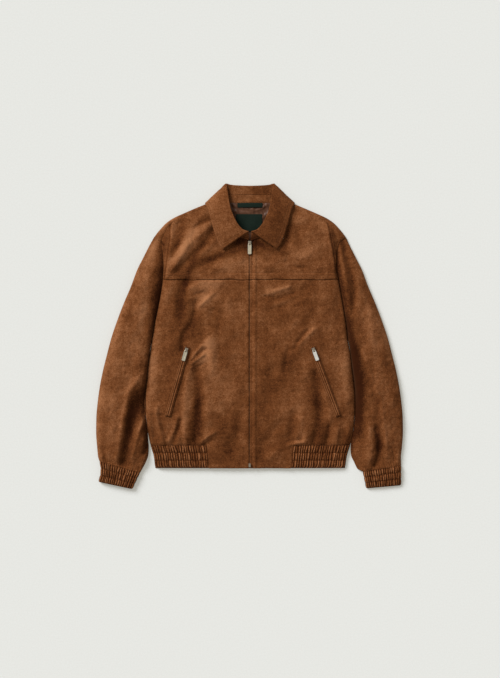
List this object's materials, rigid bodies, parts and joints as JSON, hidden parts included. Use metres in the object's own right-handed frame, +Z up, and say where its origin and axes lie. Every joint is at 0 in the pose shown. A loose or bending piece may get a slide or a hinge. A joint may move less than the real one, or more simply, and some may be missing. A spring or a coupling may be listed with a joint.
{
  "type": "suede jacket",
  "caption": "Suede zip blouson laid flat on its back, with pointed collar, chest yoke, slanted zip pockets, and gathered cuffs and hem",
  "frame": {"origin": "on the surface that the jacket lies on, under the middle of its outline", "axes": "+X to the wearer's left, +Y towards the collar, +Z up out of the front"},
  "size_m": [0.7665, 0.763, 0.0335],
  "materials": {
    "suede": "brushed nap, matte",
    "suede_gathered": "brushed nap, matte, gathered by elastic",
    "lining": "smooth satin lining",
    "trim_green": "woven",
    "zip_tape": "woven tape and teeth",
    "zip_metal": "satin light nickel"
  },
  "bodies": {
    "jacket": {"back_panel": "suede", "front_panel_right": "suede", "front_panel_left": "suede", "front_yoke_right": "suede", "front_yoke_left": "suede", "sleeve_top_right": "suede", "sleeve_under_right": "suede", "sleeve_top_left": "suede", "sleeve_under_left": "suede", "collar_fall": "suede", "collar_stand": "suede", "neck_facing": "suede", "pocket_welt_right": "suede", "pocket_welt_left": "suede", "hem_elastic_right": "suede_gathered", "hem_elastic_left": "suede_gathered", "hem_elastic_back": "suede_gathered", "cuff_right": "suede_gathered", "cuff_left": "suede_gathered", "back_lining": "lining", "hanger_loop": "trim_green", "neck_label": "trim_green", "front_zip_tape": "zip_tape", "pocket_zip_right": "zip_tape", "pocket_zip_left": "zip_tape", "front_zip_box": "zip_metal", "front_slider": "zip_metal", "pocket_right_slider": "zip_metal", "pocket_left_slider": "zip_metal"},
    "front_tab": {"front_pull": "zip_metal"},
    "right_pocket_tab": {"pocket_right_pull": "zip_metal"},
    "left_pocket_tab": {"pocket_left_pull": "zip_metal"}
  },
  "joints": [
    {"name": "front_tab_swing", "type": "hinge", "parent": "jacket", "child": "front_tab", "pos_m": [-0.0008, 0.22991, 0.02395], "axis": [-1, 0, 0], "range_deg": [0, 140]},
    {"name": "right_pocket_tab_swing", "type": "hinge", "parent": "jacket", "child": "right_pocket_tab", "pos_m": [-0.15846, -0.0357, 0.02937], "axis": [-0.9622, 0.2725, 0], "range_deg": [0, 140]},
    {"name": "left_pocket_tab_swing", "type": "hinge", "parent": "jacket", "child": "left_pocket_tab", "pos_m": [0.15823, -0.0356, 0.03033], "axis": [-0.9361, -0.3517, 0], "range_deg": [0, 140]}
  ]
}
